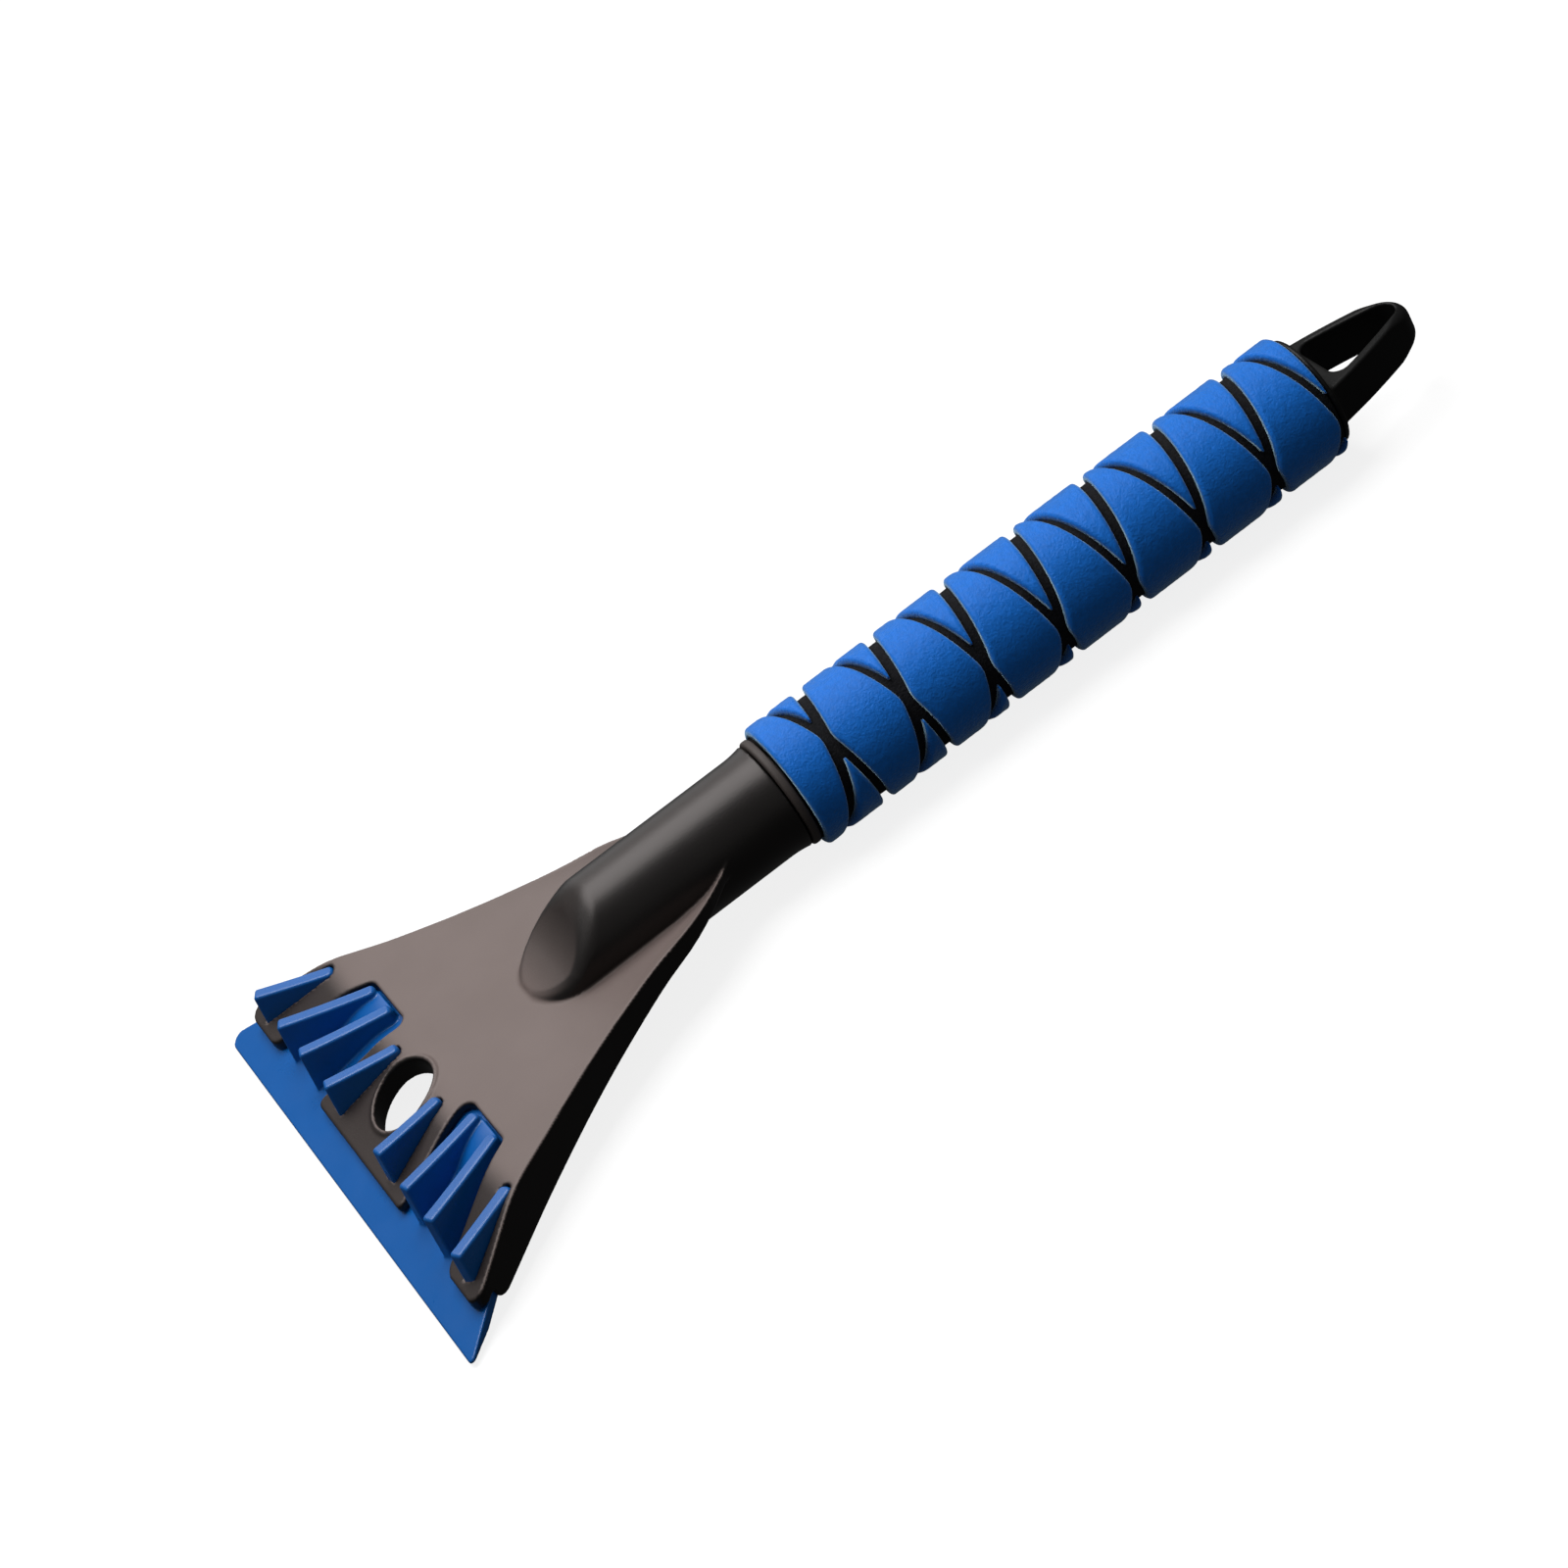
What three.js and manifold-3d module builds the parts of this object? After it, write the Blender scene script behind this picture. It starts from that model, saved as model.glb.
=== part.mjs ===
// Windshield ice scraper: a moulded head with an ice blade, a tube handle with a
// two-layer foam grip, and an end cap with a hanging loop.
// Millimetres, +Z up. +Y runs along the handle from the blade to the loop and +X is
// the width. The origin is at the bottom centre of the whole object.
// Shapes are first drawn in "handle coordinates": y = 0 at the front end of the grip
// and z = 0 on the handle's axis. One group then lifts and shifts the whole object.
import * as THREE from "three";
import { mergeVertices } from "three/addons/utils/BufferGeometryUtils.js";
import Module from "manifold-3d";

const wasm = await Module();
wasm.setup();

// ---- driving dimensions ----
const GAP = 0.3; // clearance between pieces that touch
const BLADE_EDGE_Y = -117.5; // sharp front edge of the blade
const LOOP_TIP_Y = 159.9; // far end of the hanging loop

const GRIP_LENGTH = 132.8;
const GRIP_RADIUS = 14.2; // outside of the blue foam
const CORE_RADIUS = 12.4; // outside of the black foam, the floor of the grooves
const TUBE_RADIUS = 9;
const TUBE_BORE = 7.5;
const TUBE_FRONT_Y = -27;
const COLLAR_RADIUS = 12.6;
const COLLAR_LENGTH = 2.5;

const NECK_RADIUS = 11.6;
const NECK_END_Y = -2.8;
const NOSE_START_Y = -45.5; // where the neck tube starts to fall to the plate
const NOSE_END_Y = -66.5;
const NOSE_SLOPE = 0.46; // of the scooped top face near the plate

const PLATE_THICKNESS = 2;
const BEND_Y = -92; // the plate runs level behind this line and slopes down ahead
const BEND_HALF = 4;
const FRONT_SLOPE = 0.37;
const LEVEL_AT_NECK = -2.2;
const LEVEL_AT_BEND = -1.3;
const EDGE_RISE_NECK = 4.2; // how far the plate's edges stand above its middle
const EDGE_RISE_FRONT = 1.2;
const SKIRT_WALL = 2;
const SKIRT_FRONT_Y = -105.5;
const SKIRT_CORNER = 3;
const FINGER_FRONT_Y = -110.9;
const FINGER_CORNER = 2.4;

const WINDOW_BACK_Y = -87.2;
const WINDOW_BACK_X = [16.2, 34.1];
const WINDOW_FRONT_X = [22.3, 47.2];
const WINDOW_CORNER = 2.4;
const HOLE_Y = -96.6;
const HOLE_RADIUS = 7.6;
const HOLE_BOSS_WALL = 1.6;
const HOLE_BOSS_DEPTH = 4.6;

const BLADE_THICKNESS = 2.2;
const BLADE_TIP_THICKNESS = 0.6;
const BLADE_BACK_Y = -83;
const BLADE_FRONT_HALF = 67; // half width where the blade's side meets its edge
const BLADE_SIDE_SLOPE = 0.76;
const BLADE_CORNER = 1.8;
const TOOTH_THICKNESS = 2.7;
const TOOTH_TOP_Z = 0.2;
const TOOTH_FRONT_Y = -107.9;
// [x at the front, x at the back, y at the back] of the four teeth on one side
const TEETH = [
  [14.2, 10.8, -91.6],
  [28.4, 22.6, -87.9],
  [40.9, 31.2, -87.9],
  [54.6, 46.0, -92.0],
];

// The grip's two grooves are opposite-handed helices, ground by hand-fed tools, so
// they wander a little: sway is how far in every turn and drift is how far over all
// the turns (DRIFT_TURNS of them make one slow wave).
const GROOVE_A = {
  start: 11.7, pitch: 17.88, hand: -1, sway: 1.24, phase: 0.4, drift: 0, width: 2.3,
};
const GROOVE_B = {
  start: 6.1, pitch: 17.07, hand: 1, sway: 1.5, phase: 0.2, drift: 1.5, width: 1.9,
};
const DRIFT_TURNS = 7.3;
const PATCH_MIN = 0.9; // narrowest end of a foam patch

const CAP_FLANGE_RADIUS = 12.6;
const CAP_FLANGE_LENGTH = 1.2;
const CAP_PLUG_LENGTH = 14;
const LOOP_HALF_WIDTH = 11.1; // at the flange
const LOOP_BOW = 0.5; // how far the sides bow outwards
const LOOP_TIP_RADIUS = 5.3;
const LOOP_TIP_ANGLE = 0.36; // from +X, where the round tip starts
const LOOP_HALF_DEPTH = 4.6;
const LOOP_RISE = 0.4; // of its middle above the handle's axis
const LOOP_TIP_ROUND = 3; // of the tip's upper and lower edges
const LOOP_WALL = 2.1;
const LOOP_FOOT = 3.5; // solid part between the flange and the hole
const LOOP_CORNER = 2.6; // of the hole, beside the solid part

// ---- small helpers ----
const lerp = THREE.MathUtils.lerp;
const clamp = THREE.MathUtils.clamp;

function along(value, from, to) {
  return clamp((value - from) / (to - from), 0, 1);
}

// A closed three.js geometry as a solid for cutting and joining.
function solid(geometry) {
  const bare = geometry.index ? geometry.toNonIndexed() : geometry.clone();
  bare.deleteAttribute("normal");
  bare.deleteAttribute("uv");
  const merged = mergeVertices(bare, 1e-4);
  const data = new wasm.Mesh({
    numProp: 3,
    vertProperties: new Float32Array(merged.attributes.position.array),
    triVerts: new Uint32Array(merged.index.array),
  });
  return new wasm.Manifold(data);
}

function toGeometry(body) {
  const data = body.getMesh();
  const geometry = new THREE.BufferGeometry();
  const position = new THREE.BufferAttribute(new Float32Array(data.vertProperties), 3);
  geometry.setAttribute("position", position);
  geometry.setIndex(new THREE.BufferAttribute(new Uint32Array(data.triVerts), 1));
  return geometry;
}

// Moves every vertex of a geometry with a function of its x, y and z.
function reshape(geometry, place) {
  const position = geometry.attributes.position;
  for (let i = 0; i < position.count; i++) {
    const [x, y, z] = place(position.getX(i), position.getY(i), position.getZ(i));
    position.setXYZ(i, x, y, z);
  }
  return geometry;
}

// An outline in the x-y plane as a tall prism, to be cut down by a slab.
function prism(shape) {
  const geometry = new THREE.ExtrudeGeometry(shape, {
    depth: 60,
    bevelEnabled: false,
    curveSegments: 16,
  });
  return solid(geometry.translate(0, 0, -30));
}

function disc(y, radius) {
  return prism(new THREE.Shape().absarc(0, y, radius, 0, 2 * Math.PI));
}

// A ring or rod about the handle's axis, from [radius, y] pairs.
function turned(profile, segments = 48) {
  const points = profile.map(([radius, y]) => new THREE.Vector2(radius, y));
  points.push(points[0].clone());
  return new THREE.LatheGeometry(points, segments);
}

// A polygon whose corners are rounded, as a closed list of points.
// Each corner is [x, y, radius].
function rounded(corners) {
  const points = [];
  corners.forEach(([x, y, radius], i) => {
    const corner = new THREE.Vector2(x, y);
    if (!radius) {
      points.push(corner);
      return;
    }
    const [px, py] = corners.at(i - 1);
    const [nx, ny] = corners[(i + 1) % corners.length];
    const back = new THREE.Vector2(px, py).sub(corner).normalize();
    const ahead = new THREE.Vector2(nx, ny).sub(corner).normalize();
    const half = Math.acos(clamp(back.dot(ahead), -1, 1)) / 2;
    const reach = radius / Math.tan(half);
    const start = back.multiplyScalar(reach).add(corner);
    const end = ahead.multiplyScalar(reach).add(corner);
    points.push(...new THREE.QuadraticBezierCurve(start, corner, end).getPoints(5));
  });
  return points;
}

function mirrored(body) {
  return body.add(body.mirror([1, 0, 0]));
}

// ---- the plate's surfaces ----
// Half width of the head along the handle, through a few stations [y, half width].
const OUTLINE = new THREE.SplineCurve(
  [
    [-16, 9.5],
    [-20.7, 11.6],
    [-27.5, 16.4],
    [-34.8, 20.2],
    [-46, 24],
    [-65, 33],
    [-85, 44.8],
    [-103.5, 57.4],
    [-122, 70],
  ].map(([y, half]) => new THREE.Vector2(y, half)),
);
const OUTLINE_POINTS = OUTLINE.getPoints(40);

function halfWidth(y) {
  const next = OUTLINE_POINTS.findIndex((point) => point.x <= y);
  const a = OUTLINE_POINTS[Math.max(next - 1, 0)];
  const b = OUTLINE_POINTS[Math.max(next, 0)];
  return a === b ? a.y : lerp(a.y, b.y, (y - a.x) / (b.x - a.x));
}

function middleHeight(y) {
  const level = lerp(LEVEL_AT_NECK, LEVEL_AT_BEND, along(y, -35, -80));
  const reach = clamp(BEND_Y + BEND_HALF - y, 0, 2 * BEND_HALF);
  const past = Math.max(BEND_Y - BEND_HALF - y, 0);
  return level - FRONT_SLOPE * ((reach * reach) / (4 * BEND_HALF) + past);
}

function topHeight(x, y) {
  const rise = lerp(EDGE_RISE_NECK, EDGE_RISE_FRONT, along(y, -35, -80));
  const across = Math.min(Math.abs(x) / halfWidth(y), 1.1);
  return middleHeight(y) + rise * across ** 3;
}

function skirtBottom(y) {
  const line = -2.9 + (y + 37.7) * 0.14;
  const lift = clamp((SKIRT_FRONT_Y + SKIRT_CORNER - y) / SKIRT_CORNER, 0, 1);
  return line + SKIRT_CORNER * (1 - Math.sqrt(1 - lift * lift));
}

// The plate's underside follows its raised edges near the neck. Over the blade it is
// straight across, so the corner fingers are thicker at their outer sides.
function undersideHeight(x, y) {
  const follow = along(y, -82, -72);
  return lerp(middleHeight(y), topHeight(x, y), follow) - PLATE_THICKNESS;
}

function bladeTop(x, y) {
  return middleHeight(y) - PLATE_THICKNESS - GAP;
}

// A slab over the whole head between two height functions.
function slab(low, high, backY = -18, frontY = -118) {
  const length = backY - frontY;
  const geometry = new THREE.BoxGeometry(2, length, 1, 12, 20, 1);
  geometry.translate(0, (backY + frontY) / 2, 0);
  return solid(
    reshape(geometry, (x, y, z) => {
      const wide = x * 72;
      return [wide, y, z > 0 ? high(wide, y) : low(wide, y)];
    }),
  );
}

// ---- head ----
// The y of each point that the plate and its skirt share along the outline.
function sideStations() {
  const stations = [];
  for (let y = -21; y > SKIRT_FRONT_Y + 2; y -= 6) {
    stations.push(y);
  }
  return [...stations, SKIRT_FRONT_Y];
}

function headOutline() {
  const right = [
    ...sideStations().map((y) => [halfWidth(y), y, 0]),
    [halfWidth(FINGER_FRONT_Y) - 0.6, FINGER_FRONT_Y, FINGER_CORNER],
    [WINDOW_FRONT_X[1], FINGER_FRONT_Y, FINGER_CORNER],
    [WINDOW_BACK_X[1], WINDOW_BACK_Y, WINDOW_CORNER],
    [WINDOW_BACK_X[0], WINDOW_BACK_Y, WINDOW_CORNER],
    [WINDOW_FRONT_X[0], FINGER_FRONT_Y, FINGER_CORNER],
  ];
  const left = right.map(([x, y, radius]) => [-x, y, radius]).reverse();
  return new THREE.Shape(rounded([...right, ...left]));
}

function toothAngle([frontX, backX, backY]) {
  return Math.atan2(frontX - backX, backY - TOOTH_FRONT_Y);
}

// The plan of a tooth, grown by a margin for the slot around it.
function toothPlan(tooth, margin = 0) {
  const [frontX, backX, backY] = tooth;
  const half = TOOTH_THICKNESS / 2 + margin;
  const angle = toothAngle(tooth);
  const side = new THREE.Vector2(Math.cos(angle), Math.sin(angle)).multiplyScalar(half);
  const ahead = new THREE.Vector2(Math.sin(angle), -Math.cos(angle));
  const front = new THREE.Vector2(frontX, TOOTH_FRONT_Y).addScaledVector(ahead, 1.4 + margin);
  const back = new THREE.Vector2(backX, backY).addScaledVector(ahead, -0.5 - margin);
  return new THREE.Shape([
    front.clone().sub(side),
    front.clone().add(side),
    back.clone().add(side),
    back.clone().sub(side),
  ]);
}

function skirtPlan() {
  const outer = sideStations().map((y) => new THREE.Vector2(halfWidth(y), y));
  const inner = outer.map((point) => new THREE.Vector2(point.x - SKIRT_WALL, point.y));
  return new THREE.Shape([...outer, ...inner.reverse()]);
}

// The height of the nose's scooped face: gentle at the plate, steep at the tube's top.
function noseTop(y) {
  const ahead = y - NOSE_END_Y;
  return -1.4 + NOSE_SLOPE * ahead + 3.4 * Math.exp((ahead - 18.6) / 1.75);
}

// The neck tube, with a round foot in plan and a scooped face that falls to the plate.
// Its underside rises to the plate too.
function neckBody() {
  const length = NECK_END_Y - NOSE_END_Y;
  const geometry = new THREE.CylinderGeometry(1, 1, length, 36, 16);
  geometry.translate(0, (NECK_END_Y + NOSE_END_Y) / 2, 0);
  const tube = solid(
    reshape(geometry, (x, y, z) => {
      const t = along(y, NOSE_START_Y, NOSE_END_Y);
      const radius = NECK_RADIUS + 0.5 * along(y, -7, NECK_END_Y);
      return [x * radius, y, z * (z > 0 ? radius : lerp(radius, 1.4, t))];
    }),
  );
  const footRadius = NECK_RADIUS + 0.1;
  const footY = NOSE_END_Y + footRadius;
  const plan = new THREE.Shape()
    .moveTo(-footRadius - 1, 0)
    .lineTo(-footRadius - 1, footY)
    .lineTo(-footRadius, footY)
    .absarc(0, footY, footRadius, Math.PI, 2 * Math.PI)
    .lineTo(footRadius + 1, footY)
    .lineTo(footRadius + 1, 0);
  const scoop = slab((x, y) => noseTop(y), () => 25, NOSE_START_Y + 1, NOSE_END_Y - 2);
  return tube.intersect(prism(plan)).subtract(scoop);
}

function makeHead() {
  const plate = prism(headOutline()).intersect(
    slab(undersideHeight, topHeight),
  );
  const skirt = mirrored(prism(skirtPlan())).intersect(
    slab((x, y) => skirtBottom(y), (x, y) => topHeight(x, y) - 0.4),
  );
  const boss = disc(HOLE_Y, HOLE_RADIUS + HOLE_BOSS_WALL).intersect(
    slab((x, y) => topHeight(x, y) - HOLE_BOSS_DEPTH, (x, y) => topHeight(x, y) - 0.4),
  );
  const socket = solid(
    turned([[0, TUBE_FRONT_Y - GAP], [TUBE_RADIUS + GAP, TUBE_FRONT_Y - GAP],
      [TUBE_RADIUS + GAP, 5], [0, 5]]),
  );
  let head = plate.add(skirt).add(boss).add(neckBody()).subtract(socket);
  head = head.subtract(disc(HOLE_Y, HOLE_RADIUS));
  for (const tooth of [TEETH[0], TEETH[3]]) {
    head = head.subtract(mirrored(prism(toothPlan(tooth, GAP))));
  }
  return head;
}

// ---- blade ----
function bladeOutline() {
  const shoulderY = SKIRT_FRONT_Y - GAP;
  const shoulder = BLADE_FRONT_HALF - BLADE_SIDE_SLOPE * (shoulderY - BLADE_EDGE_Y);
  const inner = (y) => halfWidth(y) - SKIRT_WALL - GAP;
  const right = [
    [BLADE_FRONT_HALF, BLADE_EDGE_Y, BLADE_CORNER],
    [shoulder, shoulderY, 0],
    [inner(shoulderY), shoulderY, 0],
    [inner(BLADE_BACK_Y), BLADE_BACK_Y, 3],
  ];
  const left = right.map(([x, y, radius]) => [-x, y, radius]).reverse();
  return new THREE.Shape(rounded([...right, ...left]));
}

function bladeBottom(x, y) {
  const taper = along(y, FINGER_FRONT_Y, BLADE_EDGE_Y);
  return bladeTop(x, y) - lerp(BLADE_THICKNESS, BLADE_TIP_THICKNESS, taper);
}

// The side view of a tooth: [distance from its front, height].
function toothBody(tooth) {
  const [frontX, backX, backY] = tooth;
  const length = Math.hypot(frontX - backX, backY - TOOTH_FRONT_Y);
  const profile = new THREE.Shape();
  profile.moveTo(-1.3, middleHeight(TOOTH_FRONT_Y) - 4);
  profile.lineTo(0, TOOTH_TOP_Z);
  profile.quadraticCurveTo(length * 0.5, -0.9, length, middleHeight(backY) - 0.3);
  profile.lineTo(length + 0.4, middleHeight(backY) - 3.4);
  const geometry = new THREE.ExtrudeGeometry(profile, {
    depth: TOOTH_THICKNESS,
    bevelEnabled: false,
    curveSegments: 6,
  });
  geometry.translate(0, 0, -TOOTH_THICKNESS / 2);
  geometry.rotateX(Math.PI / 2);
  geometry.rotateZ(Math.PI / 2 + toothAngle(tooth));
  geometry.translate(frontX, TOOTH_FRONT_Y, 0);
  return solid(geometry);
}

// The blue ramp that fills the back of a window and carries the two middle teeth.
function windowRamp() {
  const [innerX, outerX] = WINDOW_BACK_X;
  const plan = new THREE.Shape(
    rounded([
      [innerX + 1, WINDOW_BACK_Y - GAP - 0.4, 1.5],
      [outerX - 1, WINDOW_BACK_Y - GAP - 0.4, 1.5],
      [outerX + 2.6, WINDOW_BACK_Y - 6, 0],
      [innerX + 2.4, WINDOW_BACK_Y - 6, 0],
    ]),
  );
  const low = (x, y) => bladeTop(x, y) - 1;
  const high = (x, y) => topHeight(x, y) - lerp(0.5, 2.4, along(y, WINDOW_BACK_Y, WINDOW_BACK_Y - 6));
  return prism(plan).intersect(slab(low, high));
}

function makeBlade() {
  let blade = prism(bladeOutline())
    .intersect(slab(bladeBottom, bladeTop))
    .subtract(disc(HOLE_Y, HOLE_RADIUS + HOLE_BOSS_WALL + GAP))
    .add(mirrored(windowRamp()));
  for (const tooth of TEETH) {
    blade = blade.add(mirrored(toothBody(tooth)));
  }
  return blade;
}

// ---- grip ----
function groovePlace(groove, turn, angle) {
  const turns = turn + (groove.hand * angle) / (2 * Math.PI);
  const sway = groove.sway * Math.sin(angle + groove.phase);
  const drift = groove.drift * Math.cos((2 * Math.PI * turns) / DRIFT_TURNS);
  return groove.start + groove.pitch * turns + sway + drift;
}

// The blue layer between two turns of groove A and two of groove B. Angles run from
// the top of the grip towards +X. The patch wraps the grip and narrows to both ends.
function patchSpan(turnA, turnB, angle) {
  const low = Math.max(
    groovePlace(GROOVE_A, turnA, angle) + GROOVE_A.width / 2,
    groovePlace(GROOVE_B, turnB, angle) + GROOVE_B.width / 2,
    0,
  );
  const high = Math.min(
    groovePlace(GROOVE_A, turnA + 1, angle) - GROOVE_A.width / 2,
    groovePlace(GROOVE_B, turnB + 1, angle) - GROOVE_B.width / 2,
    GRIP_LENGTH,
  );
  return [low, high];
}

function patchGeometry(turnA, turnB) {
  const step = Math.PI / 90;
  const centre = angleOfMeeting(turnA, turnB);
  const inside = [];
  for (let angle = centre - Math.PI; angle <= centre + Math.PI; angle += step) {
    const [low, high] = patchSpan(turnA, turnB, angle);
    if (high - low >= PATCH_MIN) {
      inside.push(angle);
    }
  }
  if (inside.length < 12) {
    return null;
  }
  const [first, last] = [inside[0], inside.at(-1)];
  const pieces = Math.max(6, Math.round((last - first) / (Math.PI / 15)));
  const geometry = new THREE.BoxGeometry(1, 1, 1, pieces, 1, 1);
  return reshape(geometry, (x, y, z) => {
    const angle = lerp(first, last, x + 0.5);
    const [low, high] = patchSpan(turnA, turnB, angle);
    const radius = z > 0 ? GRIP_RADIUS : CORE_RADIUS + GAP;
    const shift = z > 0 ? 0.15 : 0;
    const place = y > 0 ? high - shift : low + shift;
    return [radius * Math.sin(angle), place, radius * Math.cos(angle)];
  });
}

// The angle at which a patch is widest.
function angleOfMeeting(turnA, turnB) {
  const startA = GROOVE_A.start + GROOVE_A.pitch * (turnA + 0.5);
  const startB = GROOVE_B.start + GROOVE_B.pitch * (turnB + 0.5);
  return (2 * Math.PI * (startA - startB)) / (GROOVE_A.pitch + GROOVE_B.pitch);
}

function gripPatches() {
  const found = [];
  for (let sum = -3; sum < 17; sum++) {
    // One turn round the grip adds one to turnA and takes one from turnB, so any
    // split of the sum names the same patch.
    const turnA = Math.ceil(sum / 2);
    const geometry = patchGeometry(turnA, sum - turnA);
    if (geometry) {
      found.push(geometry);
    }
  }
  return found;
}

// ---- end cap ----
function makeCap() {
  const flangeY = GRIP_LENGTH + GAP;
  const loopY = flangeY + CAP_FLANGE_LENGTH;
  const plugRadius = TUBE_BORE - GAP;
  const base = solid(
    turned([
      [0, flangeY - CAP_PLUG_LENGTH],
      [plugRadius, flangeY - CAP_PLUG_LENGTH],
      [plugRadius, flangeY],
      [CAP_FLANGE_RADIUS, flangeY],
      [CAP_FLANGE_RADIUS, loopY - 0.5],
      [CAP_FLANGE_RADIUS - 0.8, loopY],
      [0, loopY],
    ]),
  );
  const plan = new THREE.Shape(loopOutline(loopY - 0.8, 0, 0));
  plan.holes.push(new THREE.Path(loopOutline(loopY + LOOP_FOOT, LOOP_WALL, LOOP_CORNER)));
  const side = new THREE.Shape(
    rounded([
      [loopY - 1, LOOP_RISE - LOOP_HALF_DEPTH, 0],
      [LOOP_TIP_Y, LOOP_RISE - LOOP_HALF_DEPTH, LOOP_TIP_ROUND],
      [LOOP_TIP_Y, LOOP_RISE + LOOP_HALF_DEPTH, LOOP_TIP_ROUND],
      [loopY - 1, LOOP_RISE + LOOP_HALF_DEPTH, 0],
    ]),
  );
  const sideGeometry = new THREE.ExtrudeGeometry(side, { depth: 60, bevelEnabled: false });
  sideGeometry.translate(0, 0, -30);
  // The side view is drawn with y across and z up, then stood upright along X.
  const upright = reshape(sideGeometry, (x, y, z) => [z, x, y]);
  return base.add(prism(plan).intersect(solid(upright)));
}

// The loop's plan, drawn in by an inset: bowed tapering sides and a round tip.
function loopOutline(startY, inset, corner) {
  const centreY = LOOP_TIP_Y - LOOP_TIP_RADIUS;
  const endX = LOOP_TIP_RADIUS * Math.cos(LOOP_TIP_ANGLE);
  const endY = centreY + LOOP_TIP_RADIUS * Math.sin(LOOP_TIP_ANGLE);
  const insetX = inset * Math.cos(LOOP_TIP_ANGLE);
  const insetY = inset * Math.sin(LOOP_TIP_ANGLE);
  const half = [];
  for (const i of [0, 3, 4, 5, 6, 7]) {
    const y = lerp(startY + insetY, endY, i / 8);
    const t = along(y, GRIP_LENGTH + GAP + CAP_FLANGE_LENGTH, endY);
    const x = lerp(LOOP_HALF_WIDTH, endX, t) + 4 * LOOP_BOW * t * (1 - t);
    half.push([x - insetX, y - insetY, i === 0 ? corner : 0]);
  }
  for (let i = 0; i <= 7; i++) {
    const angle = lerp(LOOP_TIP_ANGLE, Math.PI / 2, i / 7);
    const radius = LOOP_TIP_RADIUS - inset;
    half.push([radius * Math.cos(angle), centreY + radius * Math.sin(angle), 0]);
  }
  const left = half.slice(0, -1).reverse();
  return rounded([...half, ...left.map(([x, y, radius]) => [-x, y, radius])]);
}

// ---- materials ----
const headPlastic = { color: 0x3a3634, roughness: 0.5, metalness: 0 };
const bladePlastic = { color: 0x1f5fb4, roughness: 0.35, metalness: 0 };
const collarPlastic = { color: 0x3a3230, roughness: 0.5, metalness: 0 };
const tubePlastic = { color: 0x1a1a1a, roughness: 0.6, metalness: 0 };
const coreFoam = { color: 0x0d0d0f, roughness: 0.95, metalness: 0 };
const gripFoam = { color: 0x1650a8, roughness: 0.9, metalness: 0 };
const capPlastic = { color: 0x101010, roughness: 0.45, metalness: 0 };

// ---- assembly ----
const scraper = new THREE.Group();
const inPlace = new THREE.Group();
inPlace.position.set(0, -(BLADE_EDGE_Y + LOOP_TIP_Y) / 2, GRIP_RADIUS);
scraper.add(inPlace);

function addPiece(name, geometry, look) {
  const mesh = new THREE.Mesh(geometry, new THREE.MeshStandardMaterial(look));
  mesh.name = name;
  inPlace.add(mesh);
}

addPiece("scraper_head", toGeometry(makeHead()), headPlastic);
addPiece("ice_blade", toGeometry(makeBlade()), bladePlastic);
addPiece(
  "collar_ring",
  turned([
    [TUBE_RADIUS + GAP, NECK_END_Y + GAP],
    [COLLAR_RADIUS - 0.5, NECK_END_Y + GAP],
    [COLLAR_RADIUS, NECK_END_Y + GAP + 0.5],
    [COLLAR_RADIUS, NECK_END_Y + COLLAR_LENGTH],
    [TUBE_RADIUS + GAP, NECK_END_Y + COLLAR_LENGTH],
  ]),
  collarPlastic,
);
addPiece(
  "handle_tube",
  turned([
    [TUBE_BORE, TUBE_FRONT_Y],
    [TUBE_RADIUS, TUBE_FRONT_Y],
    [TUBE_RADIUS, GRIP_LENGTH],
    [TUBE_BORE, GRIP_LENGTH],
  ], 40),
  tubePlastic,
);
addPiece(
  "foam_core",
  turned([
    [TUBE_RADIUS + GAP, 0],
    [CORE_RADIUS, 0],
    [CORE_RADIUS, GRIP_LENGTH],
    [TUBE_RADIUS + GAP, GRIP_LENGTH],
  ]),
  coreFoam,
);
gripPatches().forEach((geometry, i) => {
  addPiece(`grip_patch_${String(i + 1).padStart(2, "0")}`, geometry, gripFoam);
});
addPiece("end_cap", toGeometry(makeCap()), capPlastic);

export default scraper;
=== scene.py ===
"""Windshield ice scraper: smooth surfaces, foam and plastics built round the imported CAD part."""

import math

import bpy
import numpy as np
from mathutils import Matrix, Vector, noise


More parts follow.
